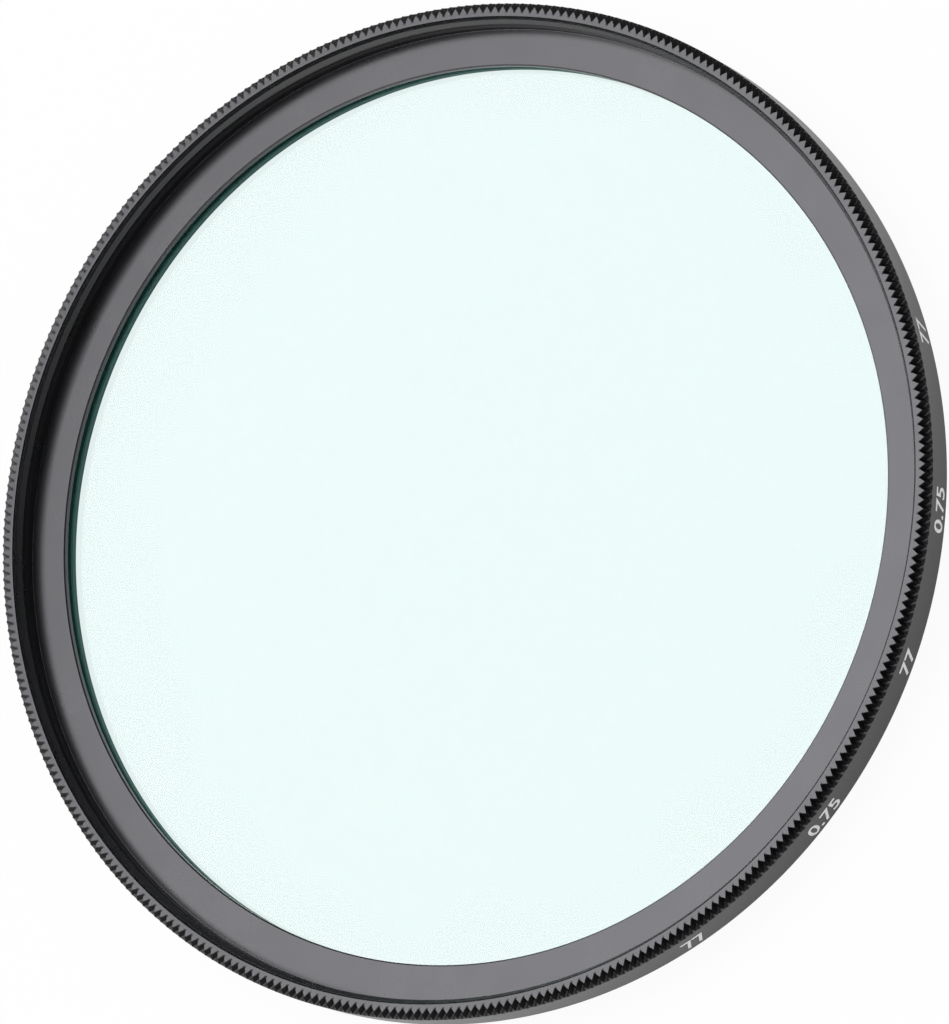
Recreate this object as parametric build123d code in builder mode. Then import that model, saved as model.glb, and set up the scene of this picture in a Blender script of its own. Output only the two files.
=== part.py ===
from build123d import *
from math import cos, radians, sin
import os

os.makedirs("parts", exist_ok=True)

# Screw-in lens filter lying on its lens side, with its front facing +Z, in millimetres.
# The origin is on the optical axis, in the plane where the lens thread ends.

# Lens thread: the same nominal size outside at the rear and inside at the front
thread_diameter = 77.0
thread_pitch = 0.75
thread_radius = thread_diameter / 2
thread_root_radius = thread_radius - 0.61 * thread_pitch
front_crest_radius = thread_radius - 0.4 * thread_pitch
thread_length = 1.8
thread_lead_in = 0.3
relief_width = 0.35

# Rim
rim_radius = 39.8
rim_height = 3.5
rim_edge_break = 0.08
shoulder_z = thread_length
face_z = shoulder_z + rim_height

# Front recess: a short tapered mouth and a bevel down to the thread, then a flat flange round the glass
mouth_radius = 38.57
mouth_depth = 0.55
mouth_taper = 0.08
bevel_top_radius = mouth_radius - mouth_taper
bevel_size = bevel_top_radius - front_crest_radius
bevel_top_z = face_z - mouth_depth
recess_depth = 2.55
flange_z = face_z - recess_depth
flange_thickness = 0.55
aperture_radius = 35.3
aperture_edge_break = 0.1

# Knurl: V grooves that start at the front face and run out on the rim
tooth_count = 360
tooth_depth = 0.45
groove_depth_at_face = 0.83
crest_run = 0.5
groove_narrow_run = 0.62
groove_narrow_depth = 0.25
groove_run = 0.7

# Glass disc, seated against the back of the flange
glass_radius = 36.6
glass_thickness = 1.0
glass_edge_break = 0.15
glass_side_clearance = 0.1
glass_bore_radius = glass_radius + glass_side_clearance
glass_front_z = flange_z - flange_thickness
glass_rear_z = glass_front_z - glass_thickness

# Retaining ring, screwed in behind the glass
ring_radius = 37.05
ring_bore_radius = 35.45
ring_thread_clearance = 0.08
ring_thread_overrun = 0.15
ring_thickness = 0.75
ring_edge_break = 0.1
ring_rear_z = glass_rear_z - ring_thickness
slot_count = 2
slot_width = 1.4
slot_depth = 0.4
slot_length = 2.0
slot_outer_radius = ring_radius - 0.45


def star_outline(root_radius):
    """Corner points of a star with one groove and one crest per tooth."""
    half_step = 360 / tooth_count / 2
    points = []
    for tooth in range(tooth_count):
        groove_angle = radians(2 * tooth * half_step)
        crest_angle = radians((2 * tooth + 1) * half_step)
        crest_radius = root_radius + tooth_depth
        points.append((root_radius * cos(groove_angle), root_radius * sin(groove_angle)))
        points.append((crest_radius * cos(crest_angle), crest_radius * sin(crest_angle)))
    return points


# Star-shaped envelope of the knurl: it widens away from the face, steeper and steeper,
# until the whole star is clear of the rim
with BuildPart() as knurl_envelope:
    with BuildSketch(Plane.XY.offset(face_z)):
        with BuildLine():
            Polyline(*star_outline(rim_radius - groove_depth_at_face), close=True)
        make_face()
    with BuildSketch(Plane.XY.offset(face_z - crest_run)):
        with BuildLine():
            Polyline(*star_outline(rim_radius - tooth_depth), close=True)
        make_face()
    with BuildSketch(Plane.XY.offset(face_z - groove_narrow_run)):
        with BuildLine():
            Polyline(*star_outline(rim_radius - groove_narrow_depth), close=True)
        make_face()
    with BuildSketch(Plane.XY.offset(face_z - groove_run)):
        with BuildLine():
            Polyline(*star_outline(rim_radius), close=True)
        make_face()
    with BuildSketch():
        with BuildLine():
            Polyline(*star_outline(rim_radius + tooth_depth), close=True)
        make_face()
    loft(ruled=True)


# Frame ring, turned from one piece
with BuildPart() as frame_ring:
    # Section of the blank: lens thread collar below, rim above, flange inside
    with BuildSketch(Plane.XZ):
        with BuildLine():
            Polyline(
                (glass_bore_radius, 0),
                (thread_radius, 0),
                (thread_radius, shoulder_z),
                (rim_radius, shoulder_z),
                (rim_radius, face_z),
                (mouth_radius, face_z),
                (bevel_top_radius, bevel_top_z),
                (front_crest_radius, bevel_top_z - bevel_size),
                (front_crest_radius, flange_z),
                (aperture_radius, flange_z),
                (aperture_radius, glass_front_z),
                (glass_bore_radius, glass_front_z),
                close=True,
            )
        make_face()
    revolve()

    # Bright edge break round the aperture
    flange_edges = frame_ring.edges().filter_by_position(Axis.Z, flange_z, flange_z)
    chamfer(flange_edges.sort_by(SortBy.RADIUS)[0], aperture_edge_break)

    # Rear edge of the rim, and the lead-in of the lens thread
    shoulder_edges = frame_ring.edges().filter_by_position(Axis.Z, shoulder_z, shoulder_z)
    chamfer(shoulder_edges.sort_by(SortBy.RADIUS)[-1], rim_edge_break)
    collar_edges = frame_ring.edges().filter_by_position(Axis.Z, 0, 0)
    chamfer(collar_edges.sort_by(SortBy.RADIUS)[-1], thread_lead_in)

    # Relief groove between the lens thread and the shoulder
    with BuildSketch(Plane.XZ):
        with Locations((thread_root_radius, shoulder_z)):
            Rectangle(rim_radius - thread_root_radius, relief_width, align=(Align.MIN, Align.MAX))
    revolve(mode=Mode.SUBTRACT)

    # Wider bore at the rear for the retaining ring
    with BuildSketch():
        Circle(ring_radius + ring_thread_clearance)
    extrude(amount=glass_rear_z + ring_thread_overrun, mode=Mode.SUBTRACT)

    # Knurl round the front edge of the rim
    add(knurl_envelope.part, mode=Mode.INTERSECT)

frame_ring.part.label = "frame_ring"
export_step(frame_ring.part, "parts/frame_ring.step")


# Glass disc with ground edges
with BuildPart() as glass_disc:
    with BuildSketch(Plane.XY.offset(glass_rear_z)):
        Circle(glass_radius)
    extrude(amount=glass_thickness)
    chamfer(glass_disc.edges().filter_by(GeomType.CIRCLE), glass_edge_break)

glass_disc.part.label = "glass_disc"
export_step(glass_disc.part, "parts/glass_disc.step")


# Retaining ring, with slots in its rear face for a spanner
with BuildPart() as retaining_ring:
    with BuildSketch(Plane.XY.offset(ring_rear_z)):
        Circle(ring_radius)
        Circle(ring_bore_radius, mode=Mode.SUBTRACT)
    extrude(amount=ring_thickness)
    chamfer(retaining_ring.edges().filter_by(GeomType.CIRCLE), ring_edge_break)
    with BuildSketch(Plane.XY.offset(ring_rear_z)):
        with PolarLocations(slot_outer_radius, slot_count):
            Rectangle(slot_length, slot_width, align=(Align.MAX, Align.CENTER))
    extrude(amount=slot_depth, mode=Mode.SUBTRACT)

retaining_ring.part.label = "retaining_ring"
export_step(retaining_ring.part, "parts/retaining_ring.step")
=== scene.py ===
"""Looks of a screw-in lens filter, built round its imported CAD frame.

Sizes are in millimetres until a mesh is made, and heights run from the plane where the lens thread ends.
"""

import math

import bmesh
import bpy
import numpy as np
from mathutils import Matrix, Vector


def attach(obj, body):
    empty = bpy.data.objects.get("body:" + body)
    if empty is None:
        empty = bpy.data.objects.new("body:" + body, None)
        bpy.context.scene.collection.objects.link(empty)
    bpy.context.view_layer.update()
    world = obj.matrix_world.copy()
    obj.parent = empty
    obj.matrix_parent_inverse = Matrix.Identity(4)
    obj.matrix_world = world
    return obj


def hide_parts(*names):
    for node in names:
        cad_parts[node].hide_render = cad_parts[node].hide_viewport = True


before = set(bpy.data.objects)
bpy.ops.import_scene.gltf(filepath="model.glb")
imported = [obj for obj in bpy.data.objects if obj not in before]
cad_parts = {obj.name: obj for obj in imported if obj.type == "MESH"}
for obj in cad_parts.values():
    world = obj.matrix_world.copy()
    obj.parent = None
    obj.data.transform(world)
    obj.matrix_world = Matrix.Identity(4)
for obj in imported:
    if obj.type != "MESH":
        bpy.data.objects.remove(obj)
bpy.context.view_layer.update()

MM = 0.001
TAU = 2 * math.pi

# Sizes of the frame ring
RIM_R = 39.8
BAND_R = 39.79
FACE_Z = 5.3
SHOULDER_Z = 1.8
REAR_BREAK = 0.07
THREAD_R = 38.5
THREAD_PITCH = 0.75
THREAD_ROOT_R = 38.04
MOUTH_R = 38.57
MOUTH_DEPTH = 0.55
MOUTH_LOW_R = 38.49
FRONT_CREST_R = 38.2
FLANGE_Z = 2.75
APERTURE_R = 35.3
APERTURE_BREAK = 0.1
GLASS_FRONT_Z = 2.2
GLASS_REAR_Z = 1.2
GLASS_R = 36.6
GLASS_BORE_R = 36.7
RING_BORE_R = 37.13
RING_BORE_TOP_Z = 1.35
RING_R = 37.05
KEEPER_BORE_R = 35.45
RING_REAR_Z = 0.45
RING_TOP_Z = GLASS_REAR_Z - 0.01
RING_EDGE_BREAK = 0.1
SLOT_WIDTH = 1.4
SLOT_DEPTH = 0.4
SLOT_OUT_R = RING_R - 0.45
GLASS_EDGE_BREAK = 0.15

# Threads, with where each starts and ends
THREAD_FADE = 0.12
FRONT_THREAD_LOW_Z = FACE_Z - 1.9
FRONT_THREAD_DROP = 0.25
LENS_THREAD_LEAD_IN = 0.3
LENS_THREAD_LOW_Z = 0.36
LENS_THREAD_TOP_Z = SHOULDER_Z - 0.37
RELIEF_LOW_Z = SHOULDER_Z - 0.35

# Painted numbers on the band: words and azimuth in degrees
MARKS = [("77", -126), ("0.75", -106), ("77", -87), ("0.75", -70), ("77", -50)]
MARK_R = 39.797
MARK_LOW_Z = 2.34
MARK_SIZE = 2.1
MARK_WEIGHT = 0.035
MARK_SLICE = 0.2

# Knurl: (depth below the face, inset of the groove's root from the rim), rows of the mesh, and points per tooth
TEETH = 360
TOOTH_DEPTH = 0.45
TOOTH_PHASES = np.array([-0.5, -0.43, -0.26, -0.09, 0.0, 0.09, 0.26, 0.43])
GROOVE_INSET = [(-0.1, 0.9), (0.0, 0.83), (0.2, 0.68), (0.35, 0.565), (0.5, 0.45), (0.57, 0.355),
                (0.62, 0.25), (0.66, 0.13), (0.7, 0.0), (0.85, -0.4)]
KNURL_DEPTHS = (0.72, 0.69, 0.66, 0.62, 0.57, 0.52, 0.46, 0.36, 0.24, 0.12, 0.03)
KNURL_LOW_Z = FACE_Z - 0.85

# Points in one turn of the fine and of the plain rows
FINE_COUNT = 720
PLAIN_COUNT = 420


# Mesh helpers
def mesh_object(name, vertices, faces, materials, sharp_deg=32.0):
    """An object from millimetre points, shaded smooth and sharp at its real edges."""
    mesh = bpy.data.meshes.new(name)
    mesh.from_pydata((np.asarray(vertices) * MM).tolist(), [], faces)
    mesh.validate()
    obj = bpy.data.objects.new(name, mesh)
    bpy.context.scene.collection.objects.link(obj)
    for material in materials:
        mesh.materials.append(material)
    mesh.polygons.foreach_set("use_smooth", [True] * len(mesh.polygons))
    mesh.set_sharp_from_angle(angle=math.radians(sharp_deg))
    mesh.update()
    return obj


class Skin:
    """Collects rows of points that run round the axis, and the quads between them."""

    def __init__(self):
        self.points = []
        self.faces = []
        self.count = 0

    def strip(self, rows, closed=True):
        """rows: list of (n, 3) arrays, each one ring of points; neighbours are joined by quads."""
        first = self.count
        n = len(rows[0])
        for row in rows:
            self.points.append(row)
            self.count += n
        last = n if closed else n - 1
        for j in range(len(rows) - 1):
            a = first + j * n
            b = a + n
            for i in range(last):
                k = (i + 1) % n
                self.faces.append((a + i, a + k, b + k, b + i))

    def build(self, name, materials, sharp_deg=30.0):
        """Welds points that coincide, leaves out faces that collapse, and makes the object."""
        points = np.concatenate(self.points)
        key = np.round(points / 2e-4).astype(np.int64)
        _, keep, index = np.unique(key, axis=0, return_index=True, return_inverse=True)
        index = np.asarray(index).reshape(-1)
        points = points[keep]
        faces = []
        for face in self.faces:
            corners = []
            for v in face:
                w = int(index[v])
                if w not in corners:
                    corners.append(w)
            if len(corners) > 2:
                faces.append(tuple(corners))
        return mesh_object(name, points, faces, materials, sharp_deg)


def ring(radius, z, angles):
    """Points at one radius and height, either of which may be an array along the angles."""
    radius = np.broadcast_to(radius, angles.shape)
    z = np.broadcast_to(z, angles.shape)
    return np.stack([radius * np.cos(angles), radius * np.sin(angles), z], axis=1)


def rounded(points, radius, steps=3):
    """The corners of an open (r, z) line cut back into short arcs. radius: one value, or one per point."""
    radii = radius if isinstance(radius, (list, tuple)) else [radius] * len(points)
    out = [points[0]]
    for before, corner, after, r in zip(points, points[1:], points[2:], radii[1:]):
        c = np.array(corner, float)
        u = np.array(before, float) - c
        v = np.array(after, float) - c
        lu, lv = np.linalg.norm(u), np.linalg.norm(v)
        u, v = u / lu, v / lv
        half = math.acos(max(-1.0, min(1.0, float(u @ v)))) / 2
        back = min(r / max(math.tan(half), 1e-6), 0.45 * lu, 0.45 * lv)
        if r <= 0 or half > math.radians(88):
            out.append(corner)
            continue
        for k in range(steps + 1):
            t = k / steps
            p = c + u * back * (1 - t) ** 2 + v * back * t ** 2
            out.append((float(p[0]), float(p[1])))
    out.append(points[-1])
    return out


def held(line, gap=0.035):
    """Extra points near both ends of each long stretch, so that flats stay flat beside their rounded edges."""
    out = [line[0]]
    for a, b in zip(line, line[1:]):
        a, b = np.array(a, float), np.array(b, float)
        length = np.linalg.norm(b - a)
        if length > 4 * gap:
            for share in (gap / length, 1 - gap / length):
                p = a + (b - a) * share
                out.append((float(p[0]), float(p[1])))
        out.append((float(b[0]), float(b[1])))
    return out


def turned(skin, line, count):
    """Turns an (r, z) line round the axis, with count points to the turn."""
    angles = np.arange(count) * TAU / count
    skin.strip([ring(r, z, angles) for r, z in held(line)])


def thread_rows(radii, z_start, z_end, drop=0.0):
    """A helical thread between two heights, lowered by drop. radii: one pitch, evenly spaced along the axis."""
    phases = len(radii)
    step = THREAD_PITCH / phases
    angles = np.linspace(0, TAU, PLAIN_COUNT + 1)
    low, high = min(z_start, z_end), max(z_start, z_end)
    flat = radii[0]
    rows = []
    total = int(math.ceil((high - low + 2 * THREAD_PITCH) / step)) + 1
    for j in range(total + 1):
        z = high - drop + THREAD_PITCH * (1 + angles / TAU) - j * step
        z = np.clip(z, low, high)
        share = np.clip(np.minimum(z - low, high - z) / THREAD_FADE, 0, 1)
        share = share * share * (3 - 2 * share)
        rows.append(ring(flat + (radii[j % phases] - flat) * share, z, angles))
    return rows if z_start > z_end else rows[::-1]


# Knurl
def tooth_height(t):
    """Height above the root for a phase t from -0.5 to 0.5, with the root at 0 and crests at the ends."""
    soft = 0.07
    rise = (np.sqrt((2 * t) ** 2 + soft ** 2) - soft) / (math.sqrt(1 + soft ** 2) - soft)
    return TOOTH_DEPTH * rise


def soft_min(a, b, width):
    """The smaller of two values, with the change from one to the other rounded over a width."""
    return 0.5 * (a + b - np.sqrt((a - b) ** 2 + width ** 2))


def knurl_radius(phase, depth):
    """Radius of the rim at a phase of its tooth and a depth below the face, cut off at the plain band."""
    inset = np.interp(depth, [d for d, _ in GROOVE_INSET], [i for _, i in GROOVE_INSET])
    star = RIM_R - inset + tooth_height(phase)
    return soft_min(star, np.full_like(star, BAND_R), 0.012)


def knurl_rows():
    """Rows of the knurl, from the plain band up and over onto the front face."""
    tooth = np.repeat(np.arange(TEETH), len(TOOTH_PHASES))
    phase = np.tile(TOOTH_PHASES, TEETH)
    angles = (tooth + phase) * TAU / TEETH
    rows = [ring(BAND_R, KNURL_LOW_Z, angles)]
    rows += [ring(knurl_radius(phase, depth), FACE_Z - depth, angles) for depth in KNURL_DEPTHS]
    edge = knurl_radius(phase, 0.0)
    rows.append(ring(edge - 0.008, FACE_Z - 0.008, angles))
    rows.append(ring(edge - 0.03, FACE_Z, angles))
    rows.append(ring(MOUTH_R + 0.25, FACE_Z, angles))
    return rows


def paint_groove_shade(obj):
    """Paints shade into the knurl's grooves and onto the lip of the mouth: gives those faces the second material, a
    darker, less glossy black, by where each face lies.
    """
    for polygon in obj.data.polygons:
        radius = math.hypot(polygon.center.x, polygon.center.y) / MM
        depth = FACE_Z - polygon.center.z / MM
        in_groove = radius > MOUTH_R + 0.3 and depth < 0.6 and polygon.normal.z < 0.5
        on_lip = abs(radius - MOUTH_R) < 0.11 and depth < 0.11 and polygon.normal.z < 0.95
        if in_groove or on_lip:
            polygon.material_index = 1


def frame_ring_mesh(material, groove_shade_material):
    """The turned frame ring, from the knurl over the face, the mouth, the inside and the lens thread to the rim."""
    skin = Skin()
    skin.strip(knurl_rows())
    bevel_low = FACE_Z - MOUTH_DEPTH - (MOUTH_LOW_R - FRONT_CREST_R)
    wall_top = bevel_low - 0.03
    mouth = rounded([(MOUTH_R + 0.25, FACE_Z), (MOUTH_R, FACE_Z), (MOUTH_LOW_R, FACE_Z - MOUTH_DEPTH),
                     (FRONT_CREST_R, bevel_low), (FRONT_CREST_R, wall_top)],
                    [0, 0.12, 0.03, 0.03, 0])
    turned(skin, mouth, FINE_COUNT)

    crest, root = FRONT_CREST_R, THREAD_R
    mid = (crest + root) / 2
    front_thread = [crest, crest, crest, mid, root, root, root, mid]
    skin.strip(thread_rows(front_thread, wall_top, FRONT_THREAD_LOW_Z, FRONT_THREAD_DROP), closed=False)
    inside = rounded([
        (FRONT_CREST_R, FRONT_THREAD_LOW_Z), (FRONT_CREST_R, FLANGE_Z + 0.1), (FRONT_CREST_R, FLANGE_Z),
        (APERTURE_R + APERTURE_BREAK, FLANGE_Z), (APERTURE_R, FLANGE_Z - APERTURE_BREAK),
        (APERTURE_R, GLASS_FRONT_Z), (GLASS_BORE_R, GLASS_FRONT_Z), (GLASS_BORE_R, RING_BORE_TOP_Z),
        (RING_BORE_R, RING_BORE_TOP_Z), (RING_BORE_R, 0.0), (THREAD_R - LENS_THREAD_LEAD_IN, 0.0),
        (THREAD_R, LENS_THREAD_LEAD_IN), (THREAD_R, LENS_THREAD_LOW_Z),
    ], 0.02, 2)
    turned(skin, inside, PLAIN_COUNT)

    flank = (THREAD_R - THREAD_ROOT_R) / 3
    lens_thread = [THREAD_R, THREAD_R - flank, THREAD_R - 2 * flank, THREAD_ROOT_R, THREAD_ROOT_R, THREAD_ROOT_R,
                   THREAD_R - 2 * flank, THREAD_R - flank]
    skin.strip(thread_rows(lens_thread, LENS_THREAD_LOW_Z, LENS_THREAD_TOP_Z), closed=False)
    outside = rounded([
        (THREAD_R, LENS_THREAD_TOP_Z), (THREAD_R, RELIEF_LOW_Z), (THREAD_ROOT_R, RELIEF_LOW_Z),
        (THREAD_ROOT_R, SHOULDER_Z), (BAND_R - REAR_BREAK, SHOULDER_Z), (BAND_R, SHOULDER_Z + REAR_BREAK),
        (BAND_R, KNURL_LOW_Z),
    ], 0.03, 3)
    turned(skin, outside, PLAIN_COUNT)
    made = skin.build("ring_frame", [material, groove_shade_material])
    paint_groove_shade(made)
    return made


# Materials
def new_material(name):
    """A material with an empty node tree."""
    material = bpy.data.materials.new(name)
    material.use_nodes = True
    tree = material.node_tree
    tree.nodes.clear()
    return material, tree


def node(tree, kind, **values):
    """A new node. A value named in_X goes to the input X, and any other is set on the node itself."""
    made = tree.nodes.new(kind)
    for key, value in values.items():
        if key.startswith("in_"):
            made.inputs[key[3:].replace("_", " ")].default_value = value
        else:
            setattr(made, key, value)
    return made


def link(tree, a, out, b, into):
    """Joins output out of node a to input into of node b."""
    tree.links.new(a.outputs[out], b.inputs[into])


def turned_coordinates(tree):
    """The object coordinates, and (radius, height, angle) in metres and radians as one vector."""
    place = node(tree, "ShaderNodeTexCoord")
    split = node(tree, "ShaderNodeSeparateXYZ")
    link(tree, place, "Object", split, "Vector")
    flat = node(tree, "ShaderNodeCombineXYZ")
    link(tree, split, "X", flat, "X")
    link(tree, split, "Y", flat, "Y")
    length = node(tree, "ShaderNodeVectorMath", operation="LENGTH")
    link(tree, flat, "Vector", length, 0)
    angle = node(tree, "ShaderNodeMath", operation="ARCTAN2")
    link(tree, split, "Y", angle, 0)
    link(tree, split, "X", angle, 1)
    joined = node(tree, "ShaderNodeCombineXYZ")
    link(tree, length, "Value", joined, "X")
    link(tree, split, "Z", joined, "Y")
    link(tree, angle, 0, joined, "Z")
    return place, joined


def anodised(name, base, roughness, ior=1.5, grain=0.25, turning=0.3, specular=0.5):
    """Black anodised aluminium: turning lines round the axis, a fine grain and faint stains in the dye."""
    material, tree = new_material(name)
    out = node(tree, "ShaderNodeOutputMaterial")
    shader = node(tree, "ShaderNodeBsdfPrincipled", in_Roughness=roughness, in_IOR=ior)
    shader.inputs["Specular IOR Level"].default_value = specular
    link(tree, shader, "BSDF", out, "Surface")
    place, polar = turned_coordinates(tree)

    stains = node(tree, "ShaderNodeTexNoise", in_Scale=260.0, in_Detail=4.0, in_Roughness=0.6)
    link(tree, place, "Object", stains, "Vector")
    tint = node(tree, "ShaderNodeValToRGB")
    ramp = tint.color_ramp
    ramp.elements[0].position = 0.3
    ramp.elements[0].color = (base[0] * 0.94, base[1] * 0.97, base[2] * 0.95, 1)
    ramp.elements[1].position = 0.7
    ramp.elements[1].color = (base[0] * 1.05, base[1] * 1.02, base[2] * 1.06, 1)
    link(tree, stains, "Fac", tint, "Fac")
    link(tree, tint, "Color", shader, "Base Color")

    # Turning lines: noise that changes fast across the cut and slowly along it
    stretch = node(tree, "ShaderNodeVectorMath", operation="MULTIPLY")
    stretch.inputs[1].default_value = (42000.0, 42000.0, 3.0)
    link(tree, polar, "Vector", stretch, 0)
    lines = node(tree, "ShaderNodeTexNoise", in_Scale=1.0, in_Detail=2.0)
    link(tree, stretch, "Vector", lines, "Vector")
    grains = node(tree, "ShaderNodeTexNoise", in_Scale=9000.0, in_Detail=2.0)
    link(tree, place, "Object", grains, "Vector")
    first = node(tree, "ShaderNodeBump", in_Strength=turning, in_Distance=0.000004)
    link(tree, lines, "Fac", first, "Height")
    second = node(tree, "ShaderNodeBump", in_Strength=grain, in_Distance=0.000004)
    link(tree, grains, "Fac", second, "Height")
    link(tree, first, "Normal", second, "Normal")
    link(tree, second, "Normal", shader, "Normal")

    rough = node(tree, "ShaderNodeMapRange", in_To_Min=roughness * 0.88, in_To_Max=roughness * 1.12)
    link(tree, stains, "Fac", rough, "Value")
    link(tree, rough, "Result", shader, "Roughness")
    return material


def glass(name, tint):
    """Coated flat glass: refracts, and lets straight light through to what lies behind it."""
    material, tree = new_material(name)
    out = node(tree, "ShaderNodeOutputMaterial")
    shader = node(tree, "ShaderNodeBsdfPrincipled", in_Metallic=0.0, in_IOR=1.5, in_Roughness=0.0)
    shader.inputs["Transmission Weight"].default_value = 1.0
    shader.inputs["Specular Tint"].default_value = (0.1, 0.14, 0.13, 1)
    shader.inputs["Base Color"].default_value = (*tint, 1)
    clear = node(tree, "ShaderNodeBsdfTransparent", in_Color=(*[math.sqrt(c) for c in tint], 1))
    path = node(tree, "ShaderNodeLightPath")
    mix = node(tree, "ShaderNodeMixShader")
    either = node(tree, "ShaderNodeMath", operation="MAXIMUM")
    link(tree, path, "Is Shadow Ray", either, 0)
    link(tree, path, "Is Diffuse Ray", either, 1)
    link(tree, either, 0, mix, 0)
    link(tree, shader, "BSDF", mix, 1)
    link(tree, clear, "BSDF", mix, 2)
    link(tree, mix, "Shader", out, "Surface")

    # Very faint smears of the coating
    place = node(tree, "ShaderNodeTexCoord")
    smear = node(tree, "ShaderNodeTexNoise", in_Scale=45.0, in_Detail=3.0, in_Distortion=0.6)
    link(tree, place, "Object", smear, "Vector")
    amount = node(tree, "ShaderNodeMapRange", in_From_Min=0.55, in_From_Max=0.75, in_To_Min=0.0, in_To_Max=0.02)
    link(tree, smear, "Fac", amount, "Value")
    link(tree, amount, "Result", shader, "Roughness")
    return material


def paint(name, colour):
    """White paint with fine specks."""
    material, tree = new_material(name)
    out = node(tree, "ShaderNodeOutputMaterial")
    shader = node(tree, "ShaderNodeBsdfPrincipled", in_Roughness=0.55)
    link(tree, shader, "BSDF", out, "Surface")
    place = node(tree, "ShaderNodeTexCoord")
    speck = node(tree, "ShaderNodeTexNoise", in_Scale=5000.0, in_Detail=3.0)
    link(tree, place, "Object", speck, "Vector")
    tint = node(tree, "ShaderNodeValToRGB")
    tint.color_ramp.elements[0].position = 0.25
    tint.color_ramp.elements[0].color = (*[c * 0.86 for c in colour], 1)
    tint.color_ramp.elements[1].position = 0.6
    tint.color_ramp.elements[1].color = (*colour, 1)
    link(tree, speck, "Fac", tint, "Fac")
    link(tree, tint, "Color", shader, "Base Color")
    bump = node(tree, "ShaderNodeBump", in_Strength=0.2, in_Distance=0.000005)
    link(tree, speck, "Fac", bump, "Height")
    link(tree, bump, "Normal", shader, "Normal")
    return material


def floor_material(shadow_share):
    """Pale studio floor: white to the camera and in reflections, keeping part of the shadow."""
    material, tree = new_material("floor_paper")
    out = node(tree, "ShaderNodeOutputMaterial")
    diffuse = node(tree, "ShaderNodeBsdfDiffuse", in_Color=(0.8, 0.8, 0.8, 1))
    white = node(tree, "ShaderNodeEmission", in_Color=(1, 1, 1, 1), in_Strength=1.0)
    path = node(tree, "ShaderNodeLightPath")
    seen = node(tree, "ShaderNodeMath", operation="MAXIMUM")
    link(tree, path, "Is Camera Ray", seen, 0)
    link(tree, path, "Is Transmission Ray", seen, 1)
    every = node(tree, "ShaderNodeMath", operation="MAXIMUM")
    link(tree, seen, 0, every, 0)
    gloss = node(tree, "ShaderNodeMath", operation="MULTIPLY")
    gloss.inputs[1].default_value = 0.5
    link(tree, path, "Is Glossy Ray", gloss, 0)
    link(tree, gloss, 0, every, 1)
    share = node(tree, "ShaderNodeMath", operation="MULTIPLY")
    share.inputs[1].default_value = 1.0 - shadow_share
    link(tree, every, 0, share, 0)
    mix = node(tree, "ShaderNodeMixShader")
    link(tree, share, 0, mix, 0)
    link(tree, diffuse, "BSDF", mix, 1)
    link(tree, white, "Emission", mix, 2)
    link(tree, mix, "Shader", out, "Surface")
    return material


black = anodised("black_anodised", (0.012, 0.012, 0.0135), 0.28, 1.52)
# Painted shade: a near-black, dull anodising for the knurl's grooves and the mouth's lip, standing in for the shade
# that falls there
groove = anodised("black_anodised_groove_shade", (0.004, 0.004, 0.0045), 0.45, 1.4, specular=0.14)
# Painted reflection: a teal base for the retaining ring, standing in for the green reflection at the glass's edge;
# the ring itself is black
keeper_teal_reflection = anodised("black_anodised_teal_reflection", (0.036, 0.12, 0.103), 0.45, 1.45, grain=0.4)
white = paint("marking_paint", (0.95, 0.95, 0.95))
clear = glass("coated_glass", (0.81, 0.917, 0.898))

# Pieces
ring_obj = frame_ring_mesh(black, groove)
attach(ring_obj, "root")
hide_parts("frame_ring")


def glass_mesh(material):
    """The glass plate with its ground edge.

    Known fault: the front cap closes the fourth row, at the top of the rear edge break, and
    not the last row at GLASS_FRONT_Z, so the plate's skin is open at the front.
    """
    skin = Skin()
    line = [(GLASS_R - GLASS_EDGE_BREAK, GLASS_REAR_Z), (GLASS_R, GLASS_REAR_Z + GLASS_EDGE_BREAK),
            (GLASS_R, GLASS_FRONT_Z - GLASS_EDGE_BREAK), (GLASS_R - GLASS_EDGE_BREAK, GLASS_FRONT_Z)]
    turned(skin, line, FINE_COUNT)
    rear_cap = tuple(range(FINE_COUNT))[::-1]
    front_cap = tuple(range(3 * FINE_COUNT, 4 * FINE_COUNT))
    points = np.concatenate(skin.points)
    return mesh_object("glass_plate", points, skin.faces + [rear_cap, front_cap], [material], 20.0)


glass_obj = glass_mesh(clear)
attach(glass_obj, "root")
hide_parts("glass_disc")


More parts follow.
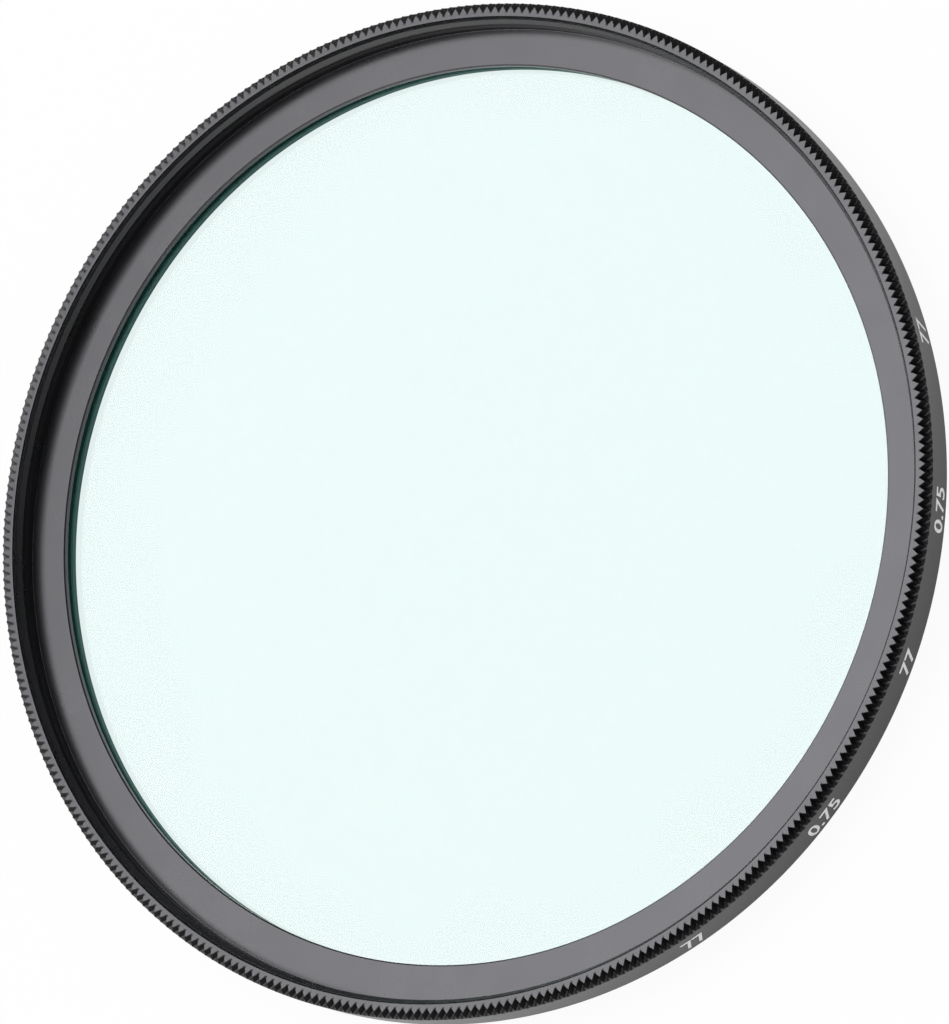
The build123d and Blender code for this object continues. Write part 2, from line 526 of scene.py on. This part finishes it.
def retaining_ring_mesh(material):
    """The thin threaded ring behind the glass, with two spanner slots."""
    slot_half = SLOT_WIDTH / 2
    slot_turn = math.asin(slot_half / KEEPER_BORE_R)
    angles = list(np.arange(FINE_COUNT) * TAU / FINE_COUNT)
    for centre in (0.0, math.pi):
        angles += [centre - slot_turn - 0.001, centre - slot_turn, centre + slot_turn, centre + slot_turn + 0.001]
    angles = np.unique(np.round(np.mod(np.array(angles), TAU), 6))
    in_slot = np.abs(np.sin(angles)) * KEEPER_BORE_R <= slot_half + 1e-3
    low = np.where(in_slot, RING_REAR_Z + SLOT_DEPTH, RING_REAR_Z)
    line = [
        (RING_R - RING_EDGE_BREAK, RING_TOP_Z),
        (KEEPER_BORE_R + RING_EDGE_BREAK, RING_TOP_Z),
        (KEEPER_BORE_R, RING_TOP_Z - RING_EDGE_BREAK),
        (KEEPER_BORE_R, low + RING_EDGE_BREAK),
        (KEEPER_BORE_R + RING_EDGE_BREAK, low),
        (SLOT_OUT_R, low),
        (SLOT_OUT_R + 0.004, RING_REAR_Z),
        (RING_R - RING_EDGE_BREAK, RING_REAR_Z),
        (RING_R, RING_REAR_Z + RING_EDGE_BREAK),
        (RING_R, RING_TOP_Z - RING_EDGE_BREAK),
        (RING_R - RING_EDGE_BREAK, RING_TOP_Z),
    ]
    skin = Skin()
    skin.strip([ring(r, z, angles) for r, z in line])
    return skin.build("keeper_ring", [material])


keeper = retaining_ring_mesh(keeper_teal_reflection)
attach(keeper, "root")
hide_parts("retaining_ring")


def marks_mesh(material):
    """Plain size numbers painted on the band: thread diameter and pitch, each cut into narrow upright slices."""
    vertices, faces = [], []
    for words, azimuth_deg in MARKS:
        text = bpy.data.curves.new("mark", "FONT")
        text.body = words
        text.size = MARK_SIZE
        text.align_x = "CENTER"
        text.offset = MARK_WEIGHT
        text.resolution_u = 5
        holder = bpy.data.objects.new("mark", text)
        bpy.context.scene.collection.objects.link(holder)
        bpy.context.view_layer.update()
        flat = bpy.data.meshes.new_from_object(holder.evaluated_get(bpy.context.evaluated_depsgraph_get()))
        shape = bmesh.new()
        shape.from_mesh(flat)
        reach = max(abs(v.co.x) for v in shape.verts)
        cut = -reach
        while cut < reach:
            parts = list(shape.verts) + list(shape.edges) + list(shape.faces)
            bmesh.ops.bisect_plane(shape, geom=parts, plane_co=(cut, 0, 0), plane_no=(1, 0, 0))
            cut += MARK_SLICE
        shape.verts.ensure_lookup_table()
        shape.verts.index_update()
        first = len(vertices)
        for v in shape.verts:
            angle = math.radians(azimuth_deg) + v.co.x / MARK_R
            vertices.append((MARK_R * math.cos(angle), MARK_R * math.sin(angle), MARK_LOW_Z + v.co.y))
        faces += [tuple(first + v.index for v in f.verts) for f in shape.faces]
        shape.free()
        bpy.data.meshes.remove(flat)
        bpy.data.objects.remove(holder)
        bpy.data.curves.remove(text)
    return mesh_object("rim_marks", vertices, faces, [material])


marks = marks_mesh(white)
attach(marks, "root")

# Stage: a wide floor just below the filter, in metres
FLOOR_HALF = 3
floor_mesh = bpy.data.meshes.new("floor")
floor_mesh.from_pydata([(-FLOOR_HALF, -FLOOR_HALF, 0), (FLOOR_HALF, -FLOOR_HALF, 0),
                        (FLOOR_HALF, FLOOR_HALF, 0), (-FLOOR_HALF, FLOOR_HALF, 0)], [], [(0, 1, 2, 3)])
floor = bpy.data.objects.new("floor", floor_mesh)
bpy.context.scene.collection.objects.link(floor)
floor_mesh.materials.append(floor_material(shadow_share=0.05))
floor.location.z = -0.00002


def softbox(name, direction, distance, size, radiance):
    """A square area lamp that faces the object and looks equally bright at any size."""
    data = bpy.data.lights.new(name, "AREA")
    data.shape = "SQUARE"
    data.size = size
    data.energy = radiance * math.pi * size * size
    data.color = (1.0, 0.993, 1.05)
    lamp = bpy.data.objects.new(name, data)
    bpy.context.scene.collection.objects.link(lamp)
    d = Vector(direction).normalized()
    lamp.location = d * distance
    lamp.rotation_mode = "QUATERNION"
    lamp.rotation_quaternion = d.to_track_quat("Z", "Y")
    return lamp


softbox("key_softbox", direction=(0.0, 0.317, 0.948), distance=0.9, size=0.54, radiance=6.1)

# World: even light for rough surfaces, white to the camera, and a low glow, stronger on one side, in reflections
world = bpy.data.worlds.new("studio")
bpy.context.scene.world = world
world.use_nodes = True
tree = world.node_tree
tree.nodes.clear()
out = node(tree, "ShaderNodeOutputWorld")
ambient = node(tree, "ShaderNodeBackground", in_Color=(1, 1, 1, 1), in_Strength=0.5)
aim = node(tree, "ShaderNodeTexCoord")
parts = node(tree, "ShaderNodeSeparateXYZ")
link(tree, aim, "Generated", parts, "Vector")
height = node(tree, "ShaderNodeMapRange", in_From_Min=0.42, in_From_Max=0.7, in_To_Min=1.0, in_To_Max=0.08)
height.interpolation_type = "SMOOTHSTEP"
link(tree, parts, "Z", height, "Value")
side = node(tree, "ShaderNodeMapRange", in_From_Min=-1.0, in_From_Max=0.6, in_To_Min=2.0, in_To_Max=0.12)
link(tree, parts, "X", side, "Value")
power = node(tree, "ShaderNodeMath", operation="MULTIPLY")
link(tree, height, "Result", power, 0)
link(tree, side, "Result", power, 1)
gleam = node(tree, "ShaderNodeBackground", in_Color=(1, 1, 1, 1))
link(tree, power, 0, gleam, "Strength")
seen = node(tree, "ShaderNodeBackground", in_Color=(1, 1, 1, 1), in_Strength=1.0)
path = node(tree, "ShaderNodeLightPath")
either = node(tree, "ShaderNodeMath", operation="MAXIMUM")
mix = node(tree, "ShaderNodeMixShader")
polish = node(tree, "ShaderNodeMixShader")
link(tree, path, "Is Camera Ray", either, 0)
link(tree, path, "Is Transmission Ray", either, 1)
link(tree, path, "Is Glossy Ray", polish, 0)
link(tree, ambient, "Background", polish, 1)
link(tree, gleam, "Background", polish, 2)
link(tree, either, 0, mix, 0)
link(tree, polish, "Shader", mix, 1)
link(tree, seen, "Background", mix, 2)
link(tree, mix, "Shader", out, "Surface")

# Camera: tilt from the filter's axis and roll, as fitted to the photograph's ellipses, and distance in metres
tilt = math.radians(28.33)
roll = math.radians(67.63)
distance = 0.5955
pixels_per_sensor = 1024.0
focal_pixels = 7740.0
camera_data = bpy.data.cameras.new("camera")
sensor_width = 36.0
camera_data.sensor_width = sensor_width
camera_data.lens = focal_pixels / pixels_per_sensor * sensor_width
camera = bpy.data.objects.new("camera", camera_data)
bpy.context.scene.collection.objects.link(camera)
bpy.context.scene.camera = camera
toward = Vector((0.0, -math.sin(tilt), math.cos(tilt)))
across = Vector((0.0, math.cos(tilt), math.sin(tilt)))
right = Vector((1, 0, 0)) * math.cos(roll) - across * math.sin(roll)
up = Vector((1, 0, 0)) * math.sin(roll) + across * math.cos(roll)
place = Vector((0, 0, FACE_Z * MM)) + toward * distance
# The camera's axis meets the 949 x 1024 picture at this pixel
image_width, image_height = 949, 1024
axis_x, axis_y = 451.0, 504.9
camera_data.shift_x = (image_width / 2 - axis_x) / pixels_per_sensor
camera_data.shift_y = (axis_y - image_height / 2) / pixels_per_sensor
camera.matrix_world = Matrix((
    (right.x, up.x, toward.x, place.x),
    (right.y, up.y, toward.y, place.y),
    (right.z, up.z, toward.z, place.z),
    (0, 0, 0, 1),
))
camera_data.clip_start = 0.01
camera_data.clip_end = 20.0

scene = bpy.context.scene
scene.view_settings.view_transform = "Standard"
scene.render.film_transparent = False
